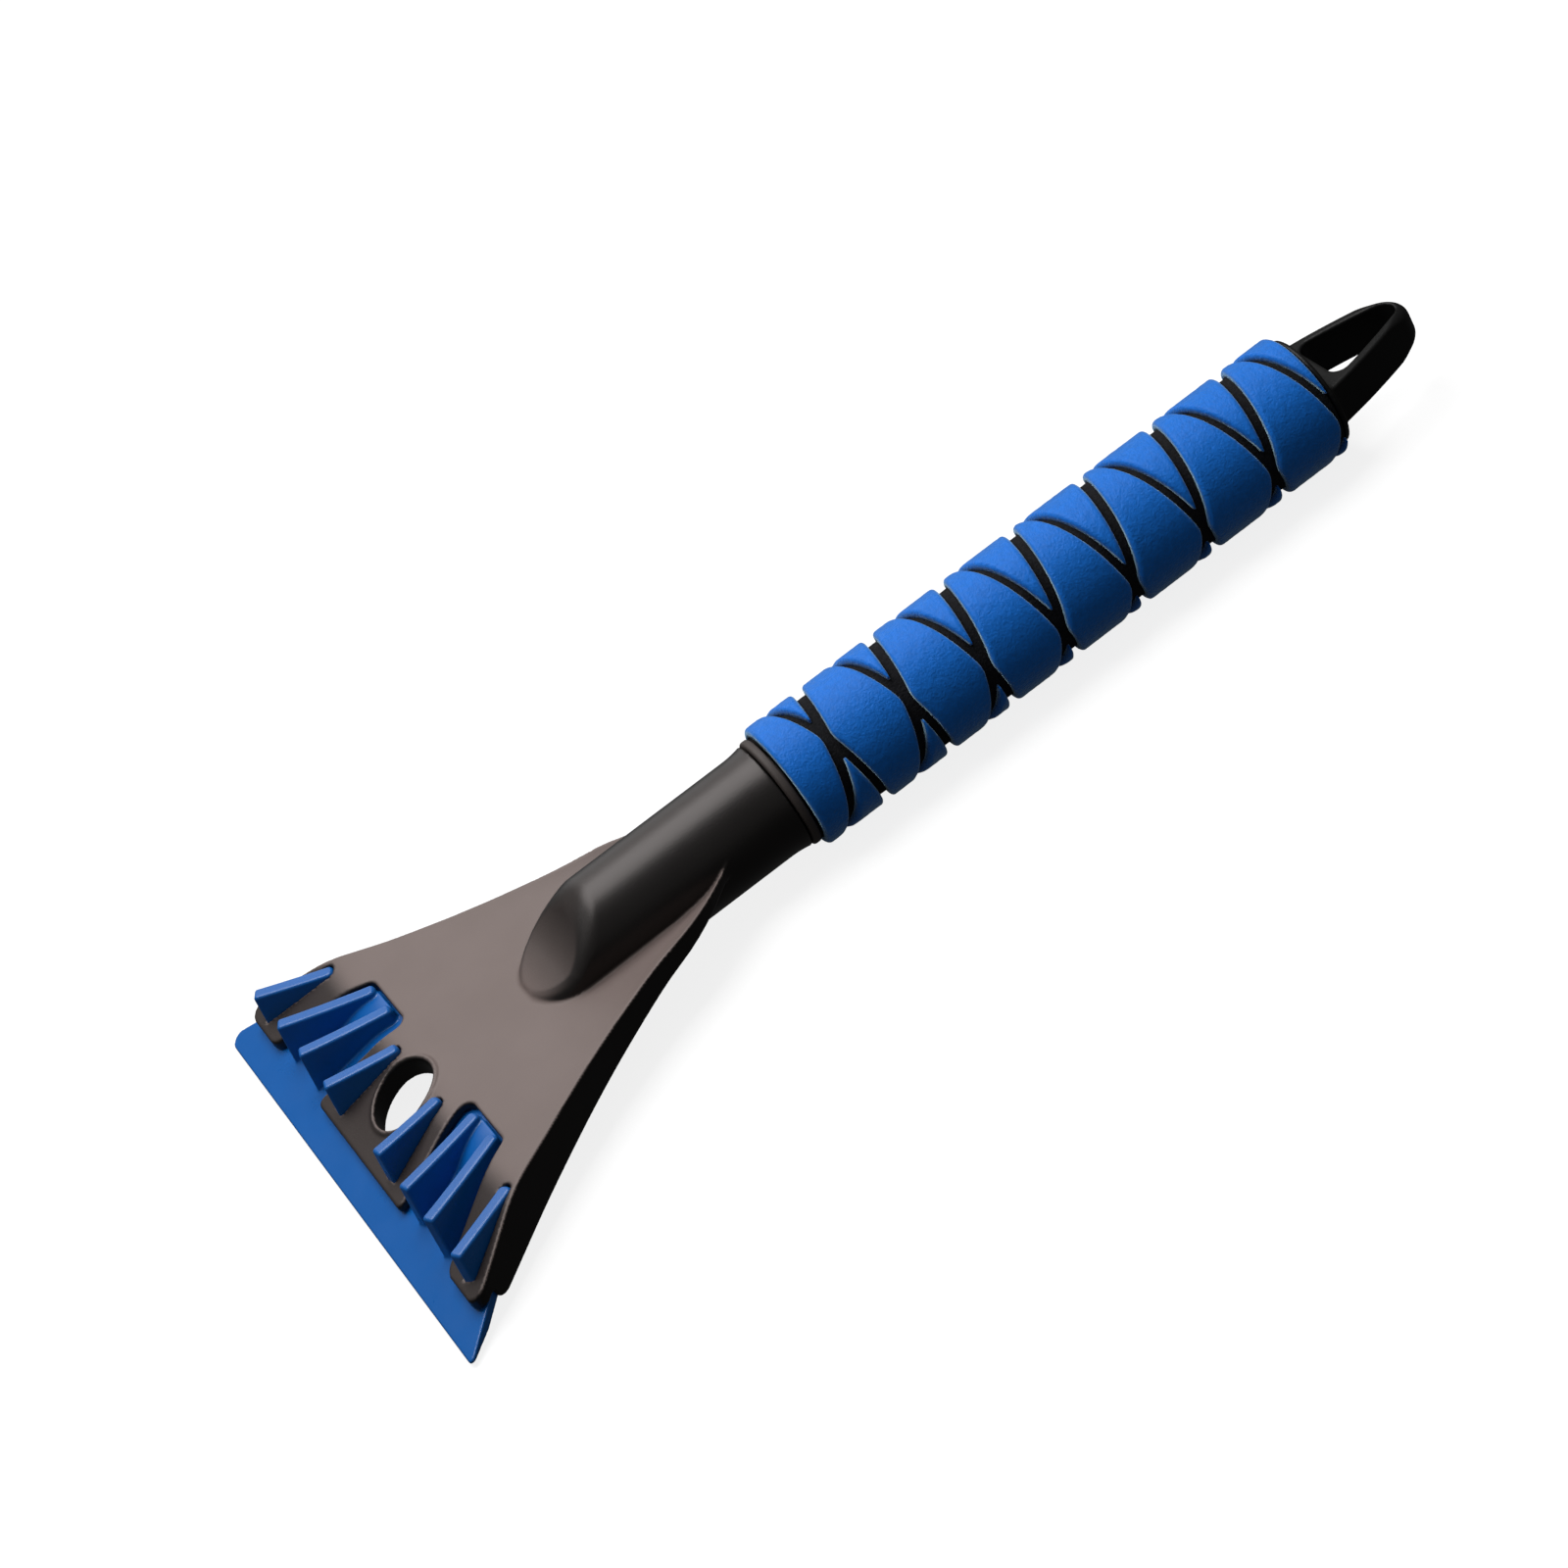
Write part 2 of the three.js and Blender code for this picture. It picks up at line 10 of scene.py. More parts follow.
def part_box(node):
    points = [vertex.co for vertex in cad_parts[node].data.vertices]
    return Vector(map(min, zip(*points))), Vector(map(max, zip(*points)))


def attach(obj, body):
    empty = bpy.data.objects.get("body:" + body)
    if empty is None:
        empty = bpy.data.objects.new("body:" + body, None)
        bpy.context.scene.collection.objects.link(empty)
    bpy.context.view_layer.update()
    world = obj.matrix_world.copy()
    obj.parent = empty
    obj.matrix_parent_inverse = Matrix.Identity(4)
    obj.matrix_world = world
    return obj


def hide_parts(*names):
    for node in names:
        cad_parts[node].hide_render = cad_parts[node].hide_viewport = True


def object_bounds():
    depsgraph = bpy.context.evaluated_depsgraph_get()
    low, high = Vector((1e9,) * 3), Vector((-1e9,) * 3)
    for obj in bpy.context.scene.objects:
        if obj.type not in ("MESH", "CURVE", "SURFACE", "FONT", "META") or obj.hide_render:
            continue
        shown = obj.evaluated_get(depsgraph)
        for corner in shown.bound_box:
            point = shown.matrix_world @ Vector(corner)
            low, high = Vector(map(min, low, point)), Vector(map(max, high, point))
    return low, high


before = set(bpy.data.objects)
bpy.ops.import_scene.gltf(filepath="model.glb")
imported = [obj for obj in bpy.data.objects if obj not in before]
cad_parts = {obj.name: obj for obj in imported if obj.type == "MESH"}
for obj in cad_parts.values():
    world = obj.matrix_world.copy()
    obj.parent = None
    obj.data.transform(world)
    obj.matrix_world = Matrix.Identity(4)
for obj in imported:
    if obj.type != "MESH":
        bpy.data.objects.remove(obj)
cad_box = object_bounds()

# Shapes are drawn in millimetres in "handle coordinates": y = 0 at the grip's front end
# and z = 0 on the handle's axis. The foam core's box says where that is in the frame.
MM = 0.001
core_low, core_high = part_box("foam_core")
HANDLE = Vector((0, core_low.y, (core_low.z + core_high.z) / 2))
CELL = 0.4  # grid step of the moulded pieces

# ---- sizes, in millimetres ----
GAP = 0.3  # clearance between pieces that touch
GRIP_LENGTH = 132.8
GRIP_RADIUS = 14.2
CORE_RADIUS = 12.4
TUBE_RADIUS = 9
COLLAR_RADIUS = 12.5

NECK_RADIUS = 11.6
NECK_FLARE = 0.5  # how much wider the neck is at the collar
NECK_END_Y = -2.8
NOSE_START_Y = -45.5
NOSE_END_Y = -66.5
NOSE_SLOPE = 0.46  # of the scooped face
NOSE_DROP = 1.3  # of the scooped face below the handle's axis, at its front end
NOSE_CROWN = 0.008  # per mm, how the scooped face falls away to its sides
CREST_Y = -47.2  # where the scooped face meets the tube's top

PLATE = 2
BEND_Y = -92  # the plate is level behind this line and slopes down ahead of it
BEND_HALF = 4
FRONT_SLOPE = 0.37
DISH_Y = (-35, -80)  # between these lines the plate's dish gets shallower
MIDDLE_Z = (-2.2, -1.3)
EDGE_RISE = (4.2, 1.2)
SKIRT_WALL = 2
SKIRT_FRONT_Y = -106
SKIRT_START_Y = -37.7
SKIRT_START_Z = -2.9
SKIRT_SLOPE = 0.14
SKIRT_CORNER = 3
FINGER_FRONT_Y = -110.9
FINGER_CORNER = 2.4
WINDOW_BACK_Y = -87.2
WINDOW_BACK_X = (16.2, 34.1)
WINDOW_FRONT_X = (22.3, 47.2)
WINDOW_CORNER = 2.4
HOLE_Y = -96.6
HOLE_RADIUS = 7.6
BOSS_WALL = 1.6
BOSS_DEPTH = 4.6
PAST_MIDDLE_X = -20  # a mirrored piece's plan is drawn to here, past its middle

BLADE_EDGE_Y = -117.5
BLADE_BACK_Y = -83
BLADE_HALF = 67
BLADE_THICK = (2.2, 0.6)  # at the fingers and at the edge
BLADE_SIDE_SLOPE = 0.76
SHOULDER_Y = -105.8  # where the blade widens past the skirts
TOOTH = 2.9
TOOTH_SLACK = 0.12  # of the head's slots round the teeth
TOOTH_FRONT_Y = -107.9
TOOTH_TOP_Z = 0.2
TOOTH_BACK_RISE = 0.9  # of a tooth's back end above the plate's middle
# (x at the front, x at the back, y at the back) of the four teeth on one side
TEETH = [
    (14.2, 10.8, -91.6),
    (28.4, 22.6, -87.9),
    (40.9, 31.2, -87.9),
    (54.6, 46.0, -92.0),
]

FLANGE_RADIUS = 12.5
FLANGE = 1.2
FLANGE_Y = GRIP_LENGTH + GAP
PLUG_RADIUS = 7.2
LOOP_Y = FLANGE_Y + FLANGE
LOOP_TIP_Y = 159.9
LOOP_HALF_WIDTH = 11.1  # at the flange
LOOP_BOW = 0.5  # how far the sides bow outwards
LOOP_TIP_RADIUS = 5.3
LOOP_TIP_ANGLE = 0.36  # from +X, where the round tip starts
LOOP_HALF_DEPTH = 4.6
LOOP_RISE = 0.4  # of its middle above the handle's axis
LOOP_WALL = 2.1
LOOP_FOOT = 3.5  # solid part between the flange and the hole
LOOP_CORNER = 2.6  # of the hole, beside the solid part


# ---- fields: negative inside, positive outside, in millimetres ----
def along(value, start, end):
    """How far a value is from start (0) to end (1)."""
    return np.clip((value - start) / (end - start), 0, 1)


def lerp(a, b, t):
    return a + (b - a) * t


def smooth(value, start, end):
    """Like along, with soft ends."""
    t = along(value, start, end)
    return t * t * (3 - 2 * t)


def both(a, b, radius=0.3):
    """What a and b share, with a rounded edge."""
    corner = np.hypot(np.maximum(radius + a, 0), np.maximum(radius + b, 0))
    return np.minimum(np.maximum(a, b), -radius) + corner


def cut(a, b, radius=0.3):
    """a without b, with a rounded edge."""
    return both(a, -b, radius)


def join(a, b, radius=0.3):
    """a and b together, with a fillet between them."""
    corner = np.hypot(np.maximum(radius - a, 0), np.maximum(radius - b, 0))
    return np.maximum(np.minimum(a, b), radius) - corner


def rounded(corners):
    """The points of a polygon of (x, y, radius) corners."""
    points = []
    for i, (x, y, radius) in enumerate(corners):
        here = Vector((x, y))
        back = (Vector(corners[i - 1][:2]) - here).normalized()
        ahead = (Vector(corners[(i + 1) % len(corners)][:2]) - here).normalized()
        if not radius:
            points.append(tuple(here))
            continue
        half = back.angle(ahead) / 2
        reach = radius / math.tan(half)
        start, end = here + back * reach, here + ahead * reach
        centre = here + (back + ahead).normalized() * (radius / math.sin(half))
        for step in range(7):
            spot = start.lerp(end, step / 6) - centre
            points.append(tuple(centre + spot.normalized() * radius))
    return points


def outline(x, y, corners):
    """Distance to a polygon."""
    x, y = np.broadcast_arrays(x, y)
    best = np.full(x.shape, 1e9)
    inside = np.zeros(x.shape, bool)
    for (ax, ay), (bx, by) in zip(corners, corners[1:] + corners[:1]):
        ex, ey = bx - ax, by - ay
        t = np.clip(((x - ax) * ex + (y - ay) * ey) / (ex * ex + ey * ey), 0, 1)
        best = np.minimum(best, (x - ax - ex * t) ** 2 + (y - ay - ey * t) ** 2)
        if ay != by:
            inside ^= ((ay > y) != (by > y)) & (x < ex * (y - ay) / ey + ax)
    return np.where(inside, -1, 1) * np.sqrt(best)


def surface(field, low, high, cell):
    """The points and four-sided faces of a field's zero surface."""
    axes = [np.arange(a - 1.5 * cell, b + 2.5 * cell, cell) for a, b in zip(low, high)]
    values = field(axes[0][:, None, None], axes[1][None, :, None], axes[2][None, None, :])
    inside = values < 0
    spans = [(slice(None, -1), slice(1, None))] * 3
    count = np.zeros([len(a) - 1 for a in axes], np.int8)
    for i in spans[0]:
        for j in spans[1]:
            for k in spans[2]:
                count += inside[i, j, k]
    cells = np.argwhere((count > 0) & (count < 8))
    number = np.zeros(count.shape, np.int64)
    number[tuple(cells.T)] = np.arange(len(cells))
    total, hits = np.zeros((len(cells), 3)), np.zeros((len(cells), 1))
    faces = []
    for axis in range(3):
        step = np.eye(3, dtype=int)[axis]
        u, v = np.eye(3, dtype=int)[(axis + 1) % 3], np.eye(3, dtype=int)[(axis + 2) % 3]
        for corner in (0 * u, u, v, u + v):
            a = cells + corner
            va, vb = values[tuple(a.T)], values[tuple((a + step).T)]
            crosses = (va < 0) != (vb < 0)
            t = np.where(crosses, va / np.where(crosses, va - vb, 1), 0)
            total += (a + t[:, None] * step) * crosses[:, None]
            hits += crosses[:, None]
        first = inside[tuple(slice(None, -1) if n == axis else slice(None) for n in range(3))]
        second = inside[tuple(slice(1, None) if n == axis else slice(None) for n in range(3))]
        edges = np.argwhere(first != second)
        ring = [edges - u - v, edges - v, edges, edges - u]
        quads = np.stack([number[tuple(r.T)] for r in ring], 1)
        outward = first[tuple(edges.T)]
        quads[~outward] = quads[~outward][:, ::-1]
        faces.append(quads)
    points = total / hits * cell + [a[0] for a in axes]
    for _ in range(3):
        here = field(*points.T)
        slope = np.stack(
            [(field(*(points + d).T) - field(*(points - d).T)) / 0.04 for d in np.eye(3) * 0.02], 1
        )
        move = slope * (here / np.maximum((slope**2).sum(1), 0.05))[:, None]
        points -= np.clip(move, -0.4 * cell, 0.4 * cell)
    return points, np.concatenate(faces)


# ---- pieces ----
def piece(name, points, faces, material, nodes):
    """A smooth mesh in the frame, from millimetres in handle coordinates."""
    mesh = bpy.data.meshes.new(name)
    mesh.from_pydata(
        (np.asarray(points) * MM + np.array(HANDLE)).tolist(), [], [tuple(f) for f in faces]
    )
    mesh.validate()
    mesh.polygons.foreach_set("use_smooth", [True] * len(mesh.polygons))
    mesh.materials.append(material)
    made = bpy.data.objects.new(name, mesh)
    bpy.context.scene.collection.objects.link(made)
    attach(made, "root")
    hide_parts(*nodes)
    return made


def moulded(name, field, low, high, cell, material, node):
    """A piece from a field, looked for between two corners."""
    points, faces = surface(field, low, high, cell)
    return piece(name, points, faces.tolist(), material, [node])


def paint_top_sheen(made):
    """Says how much painted sheen each point gets, and not the tube: lighter on up-facing plate
    faces and on the low middle of the neck's scooped face, darker on faces that tilt forward past
    the bend.
    """
    mesh = made.data
    count = len(mesh.vertices)
    spots, normals = np.zeros(count * 3, np.float32), np.zeros(count * 3, np.float32)
    mesh.vertices.foreach_get("co", spots)
    mesh.vertex_normals.foreach_get("vector", normals)
    x, y, z = (spots.reshape(-1, 3) - np.array(HANDLE)).T / MM
    nx, ny, nz = normals.reshape(-1, 3).T
    over = np.maximum(z - top_height(x, y), 0)
    # Painted sheen: up-facing faces near the plate's top, and the low middle of the scooped face,
    # are marked lighter for how the key light falls on them.
    plate = smooth(nz, 0.5, 0.82) * np.exp(-((over / 2) ** 2))
    nose = (1 - smooth(np.abs(nx), 0.02, 0.36)) * smooth(nz, 0.2, 0.6) / (1 + (over / 3.6) ** 1.7)
    # Painted shade: faces that tilt forward ahead of the bend keep only a fifth of the painted
    # sheen.
    level = 1 - 0.8 * smooth(-ny / np.maximum(nz, 0.1), 0.12, 0.4) * smooth(-y, 84, 92)
    share = np.maximum(plate, nose) * level
    mark = mesh.attributes.new("painted_top_sheen", "FLOAT", "POINT")
    mark.data.foreach_set("value", share.astype(np.float32))


def turned(name, profile, material, node, turns=128, rough=0.0):
    """A ring about the handle's axis from a closed list of (radius, y)."""
    points, faces, count = [], [], len(profile)
    for i in range(turns):
        angle = 2 * math.pi * i / turns
        for radius, y in profile:
            spot = Vector((radius * math.sin(angle), y, radius * math.cos(angle)))
            wide = radius + rough * noise.noise(spot * 0.9) + rough * noise.noise(spot * 2.3)
            points.append((wide * math.sin(angle), y, wide * math.cos(angle)))
    for i in range(turns):
        a, b = i * count, (i + 1) % turns * count
        for j in range(count):
            k = (j + 1) % count
            faces.append((a + j, a + k, b + k, b + j))
    return piece(name, points, faces, material, [node])


# ---- the plate's surfaces ----
# (y, half width) along the plate's edge
STATIONS = [
    (-16, 9.5),
    (-20.7, 11.6),
    (-27.5, 16.4),
    (-34.8, 20.2),
    (-46, 24),
    (-65, 33),
    (-85, 44.8),
    (-103.5, 57.4),
    (-122, 70),
]


def spline(stations, steps=12):
    """A smooth curve through (x, y) stations."""
    spots = [Vector(s) for s in [stations[0], *stations, stations[-1]]]
    found = []
    for a, b, c, d in zip(spots, spots[1:], spots[2:], spots[3:]):
        for i in range(steps):
            t = i / steps
            found.append(
                0.5 * (2 * b + (c - a) * t + (2 * a - 5 * b + 4 * c - d) * t**2)
                + 0.5 * (3 * b - a - 3 * c + d) * t**3
            )
    return np.array([tuple(p) for p in [*found, spots[-1]]])


OUTLINE = spline(STATIONS)[::-1]


def half_width(y):
    """Of the plate."""
    return np.interp(y, OUTLINE[:, 0], OUTLINE[:, 1])


def middle_height(y):
    """Of the plate's top, along its middle."""
    level = lerp(*MIDDLE_Z, along(y, *DISH_Y))
    reach = np.clip(BEND_Y + BEND_HALF - y, 0, 2 * BEND_HALF)
    past = np.maximum(BEND_Y - BEND_HALF - y, 0)
    return level - FRONT_SLOPE * (reach**2 / (4 * BEND_HALF) + past)


def top_height(x, y):
    """Of the plate's dished top."""
    rise = lerp(*EDGE_RISE, along(y, *DISH_Y))
    return middle_height(y) + rise * np.minimum(np.abs(x) / half_width(y), 1.1) ** 3


def skirt_bottom(y):
    """The skirts' lower edge: a slope with a round front corner."""
    lift = np.clip((SKIRT_FRONT_Y + SKIRT_CORNER - y) / SKIRT_CORNER, 0, 1)
    slope = SKIRT_START_Z + (y - SKIRT_START_Y) * SKIRT_SLOPE
    return slope + SKIRT_CORNER * (1 - np.sqrt(1 - lift**2))


SIDE_Y = [float(y) for y in np.arange(-18, SKIRT_FRONT_Y, -3)] + [SKIRT_FRONT_Y]
HEAD_PLAN = [
    *[(float(half_width(y)), y) for y in SIDE_Y],
    *rounded(
        [
            (float(half_width(SKIRT_FRONT_Y)), SKIRT_FRONT_Y, 0),
            (float(half_width(FINGER_FRONT_Y)) - 0.6, FINGER_FRONT_Y, FINGER_CORNER),
            (PAST_MIDDLE_X, FINGER_FRONT_Y, 0),
        ]
    )[1:-1],
    (PAST_MIDDLE_X, FINGER_FRONT_Y),
    (PAST_MIDDLE_X, SIDE_Y[0]),
]
# A window is open at its front, so its plan runs on well past the fingers.
WINDOW_END_Y = FINGER_FRONT_Y - 15.3
WINDOW_PLAN = rounded(
    [
        (WINDOW_BACK_X[0], WINDOW_BACK_Y, WINDOW_CORNER),
        (WINDOW_BACK_X[1], WINDOW_BACK_Y, WINDOW_CORNER),
        (WINDOW_FRONT_X[1], FINGER_FRONT_Y, 0),
        (WINDOW_FRONT_X[1] + 8, WINDOW_END_Y, 0),
        (WINDOW_FRONT_X[0] + 4, WINDOW_END_Y, 0),
        (WINDOW_FRONT_X[0], FINGER_FRONT_Y, 0),
    ]
)


def tooth_frame(tooth, x, y):
    """How far back from a tooth's front, and how far to its side."""
    front_x, back_x, back_y = tooth
    angle = math.atan2(front_x - back_x, back_y - TOOTH_FRONT_Y)
    dx, dy = x - front_x, y - TOOTH_FRONT_Y
    back = dy * math.cos(angle) - dx * math.sin(angle)
    across = dx * math.cos(angle) + dy * math.sin(angle)
    return back, across


def tooth_length(tooth):
    return math.hypot(tooth[0] - tooth[1], tooth[2] - TOOTH_FRONT_Y)


def tooth_plan(tooth, back, across, half):
    """Distance to a tooth's sides and to its round back end."""
    return np.hypot(np.maximum(back - tooth_length(tooth) + TOOTH / 2, 0), across) - half


def neck(x, y, z):
    """The neck tube, with a round foot in plan and a scooped face that falls to the plate."""
    radius = NECK_RADIUS + NECK_FLARE * along(y, -7.5, NECK_END_Y) ** 2
    ring = np.hypot(x, z) - radius
    low = lerp(NECK_RADIUS, 1.4, along(y, NOSE_START_Y, NOSE_END_Y))
    ring = both(ring, -z - low, 1)
    foot = np.hypot(x, np.minimum(y - NOSE_END_Y - NECK_RADIUS, 0)) - NECK_RADIUS
    fall = NOSE_SLOPE * (y - NOSE_END_Y) - NOSE_DROP - NOSE_CROWN * x**2
    facet = (z - fall) / np.hypot(1, NOSE_SLOPE)
    wall = 0.38 * (z - NECK_RADIUS) - 0.925 * (y - CREST_Y)
    scoop = -both(-facet, -wall, 7)
    crest = lerp(2.2, 4, smooth(y, -55, CREST_Y))
    body = both(np.maximum(ring, np.where(y < NOSE_START_Y + 4, foot, ring)), scoop, crest)
    return both(body, y - NECK_END_Y, 0.3)


def head(x, y, z):
    side = np.abs(x)
    plan = cut(outline(side, y, HEAD_PLAN), outline(side, y, WINDOW_PLAN), 1.7)
    top = top_height(x, y)
    shell = both(plan, (z - top) * 0.95, 0.5)
    shell = both(shell, skirt_bottom(y) - z, 0.6)
    under = lerp(middle_height(y), top, along(y, -82, -72)) - PLATE
    inner = np.minimum(side - half_width(y) + SKIRT_WALL, y - SKIRT_FRONT_Y) * 0.85
    shell = cut(shell, both(inner, z - under, 0.6), 0.3)
    hole = np.hypot(x, y - HOLE_Y) - HOLE_RADIUS
    boss = both(both(hole - BOSS_WALL, z - top + 0.3, 0.3), top - BOSS_DEPTH - z, 0.3)
    lip = np.hypot(hole - 0.55, z - top + 0.1) - 0.6
    shell = join(join(shell, boss, 0.3), lip, 0.35)
    shell = cut(shell, hole, 0.35)
    for tooth in (TEETH[0], TEETH[3]):
        back, across = tooth_frame(tooth, side, y)
        sides = tooth_plan(tooth, back, across, TOOTH / 2 + TOOTH_SLACK)
        shell = cut(shell, np.maximum(sides, -0.5 - back), 0.1)
    shell = join(shell, neck(x, y, z), 0.7)
    bore = np.maximum(np.hypot(x, z) - TUBE_RADIUS - GAP, -27.3 - y)
    return cut(shell, bore, 0.2)


# ---- blade ----
# The blade's two halves differ in how round their front corners are.
BLADE_PLANS = [
    rounded(
        [
            (BLADE_HALF, BLADE_EDGE_Y, corner),
            (BLADE_HALF - BLADE_SIDE_SLOPE * (SHOULDER_Y - BLADE_EDGE_Y), SHOULDER_Y, 0),
            (float(half_width(SHOULDER_Y)) - SKIRT_WALL - GAP, SHOULDER_Y, 0),
            (float(half_width(BLADE_BACK_Y)) - SKIRT_WALL - GAP, BLADE_BACK_Y, 3),
            (PAST_MIDDLE_X, BLADE_BACK_Y, 0),
            (PAST_MIDDLE_X, BLADE_EDGE_Y, 0),
        ]
    )
    for corner in (0.8, 2.2)
]
RAMP_BACK_Y = WINDOW_BACK_Y - 0.5
RAMP_LENGTH = 10
RAMP_PLAN = [
    (TEETH[1][1], RAMP_BACK_Y),
    (TEETH[2][1], RAMP_BACK_Y),
    (TEETH[2][0], TOOTH_FRONT_Y),
    (TEETH[1][0], TOOTH_FRONT_Y),
]


def tooth_profile(tooth):
    """A tooth's side view: (distance back from its front, height)."""
    length = tooth_length(tooth)
    back = float(middle_height(tooth[2])) + TOOTH_BACK_RISE
    corners = [(-1.3, float(middle_height(TOOTH_FRONT_Y)) - 4, 0), (0, TOOTH_TOP_Z, 0.7)]
    for i in range(1, 6):
        t = i / 6
        height = TOOTH_TOP_Z * (1 - t) ** 2 - 0.5 * 2 * t * (1 - t) + back * t**2
        corners.append((length * t, height, 0))
    return rounded([*corners, (length, back, 1.2), (length + 0.2, back - 4, 0)])


def blade(x, y, z):
    side = np.abs(x)
    top = middle_height(y) - PLATE - GAP
    bottom = top - lerp(*BLADE_THICK, along(y, FINGER_FRONT_Y, BLADE_EDGE_Y))
    plan = np.where(x > 0, outline(side, y, BLADE_PLANS[0]), outline(side, y, BLADE_PLANS[1]))
    body = both(plan, (z - top) * 0.95, 0.25)
    body = both(body, (bottom - z) * 0.95, 0.2)
    body = cut(body, np.hypot(x, y - HOLE_Y) - HOLE_RADIUS - BOSS_WALL - GAP, 0.2)
    fall = along(y, RAMP_BACK_Y, RAMP_BACK_Y - RAMP_LENGTH)
    ramp_top = lerp(middle_height(y) - 0.3, top - 0.05, fall**1.6)
    ramp = both(outline(side, y, RAMP_PLAN), (z - ramp_top) * 0.9, 0.3)
    body = join(body, np.maximum(ramp, top - 1 - z), 0.3)
    for tooth in TEETH:
        back, across = tooth_frame(tooth, side, y)
        plan = tooth_plan(tooth, back, across, TOOTH / 2)
        fin = both(outline(back, z, tooth_profile(tooth)), plan, 0.55)
        body = join(body, fin, 0.35)
    return body


# ---- end cap ----
def loop_plan(start_y, inset, corner):
    """The loop's plan drawn in by inset: bowed tapering sides and a round tip."""
    centre_y = LOOP_TIP_Y - LOOP_TIP_RADIUS
    end_x = LOOP_TIP_RADIUS * math.cos(LOOP_TIP_ANGLE)
    end_y = centre_y + LOOP_TIP_RADIUS * math.sin(LOOP_TIP_ANGLE)
    inset_x, inset_y = inset * math.cos(LOOP_TIP_ANGLE), inset * math.sin(LOOP_TIP_ANGLE)
    half = []
    for i in (0, *range(4, 12)):
        y = lerp(start_y + inset_y, end_y, i / 12)
        t = (y - LOOP_Y) / (end_y - LOOP_Y)
        x = lerp(LOOP_HALF_WIDTH, end_x, t) + 4 * LOOP_BOW * t * (1 - t)
        half.append((x - inset_x, y - inset_y, 0 if i else corner))
    radius = LOOP_TIP_RADIUS - inset
    for i in range(13):
        angle = lerp(LOOP_TIP_ANGLE, math.pi / 2, i / 12)
        half.append((radius * math.cos(angle), centre_y + radius * math.sin(angle), 0))
    return rounded(half + [(-x, y, bend) for x, y, bend in half[-2::-1]])


LOOP_OUTER = loop_plan(LOOP_Y - 0.9, 0, 0)
LOOP_INNER = loop_plan(LOOP_Y + LOOP_FOOT, LOOP_WALL, LOOP_CORNER)


def end_cap(x, y, z):
    radius = np.hypot(x, z)
    flange = both(radius - FLANGE_RADIUS, np.abs(y - FLANGE_Y - FLANGE / 2) - FLANGE / 2, 0.45)
    plug = both(radius - PLUG_RADIUS, np.abs(y - FLANGE_Y + 6.8) - 7.2, 0.4)
    tip_round = lerp(0.6, 3, smooth(y, LOOP_TIP_Y - 8, LOOP_TIP_Y - 1))
    band = both(outline(x, y, LOOP_OUTER), np.abs(z - LOOP_RISE) - LOOP_HALF_DEPTH, tip_round)
    band = both(band, LOOP_Y - 0.8 - y, 0.1)
    band = cut(band, outline(x, y, LOOP_INNER), 0.45)
    return join(join(flange, plug, 0.2), band, 0.5)


# ---- grip ----
# (start, pitch, hand, sway, phase, drift, width) of the two opposite-handed grooves
GROOVES = [(11.7, 17.88, -1, 1.24, 0.4, 0, 2.3), (6.1, 17.07, 1, 1.5, 0.2, 1.5, 1.9)]
DRIFT_TURNS = 7.3
EDGE_ROUND = 0.95
NARROWEST_PATCH = 0.9
NARROWEST_TIP = 0.25
SECTION_STEP = 0.45  # between a patch's cross-sections
CROWN_POINTS = 34


def groove_place(groove, turn, angle):
    """How far along the grip a groove's middle is."""
    start, pitch, hand, sway, phase, drift, _ = groove
    turns = turn + hand * angle / (2 * math.pi)
    wander = sway * np.sin(angle + phase) + drift * np.cos(2 * math.pi * turns / DRIFT_TURNS)
    return start + pitch * turns + wander


def soft_max(a, b, reach=0.7):
    """The larger, rounded where the two are about equal."""
    gap = np.clip(0.5 + 0.5 * (a - b) / reach, 0, 1)
    return lerp(b, a, gap) + reach * gap * (1 - gap)


def patch_span(turn_a, turn_b, angle):
    """Where a patch starts and ends along the grip, at each angle from the top."""
    a, b = GROOVES
    half_a, half_b = a[-1] / 2, b[-1] / 2
    low = soft_max(
        groove_place(a, turn_a, angle) + half_a,
        groove_place(b, turn_b, angle) + half_b,
    )
    high = -soft_max(
        -groove_place(a, turn_a + 1, angle) + half_a,
        -groove_place(b, turn_b + 1, angle) + half_b,
    )
    return np.maximum(low, 0), np.minimum(high, GRIP_LENGTH)


def patch_angles(turn_a, turn_b, least):
    """The angles between which a patch is at least so wide."""
    a, b = GROOVES
    meet = a[0] + a[1] * (turn_a + 0.5) - b[0] - b[1] * (turn_b + 0.5)
    centre = 2 * math.pi * meet / (a[1] + b[1])
    angles = np.linspace(centre - math.pi, centre + math.pi, 1441)
    low, high = patch_span(turn_a, turn_b, angles)
    wide = angles[high - low >= least]
    return (wide[0], wide[-1]) if len(wide) > 60 else None


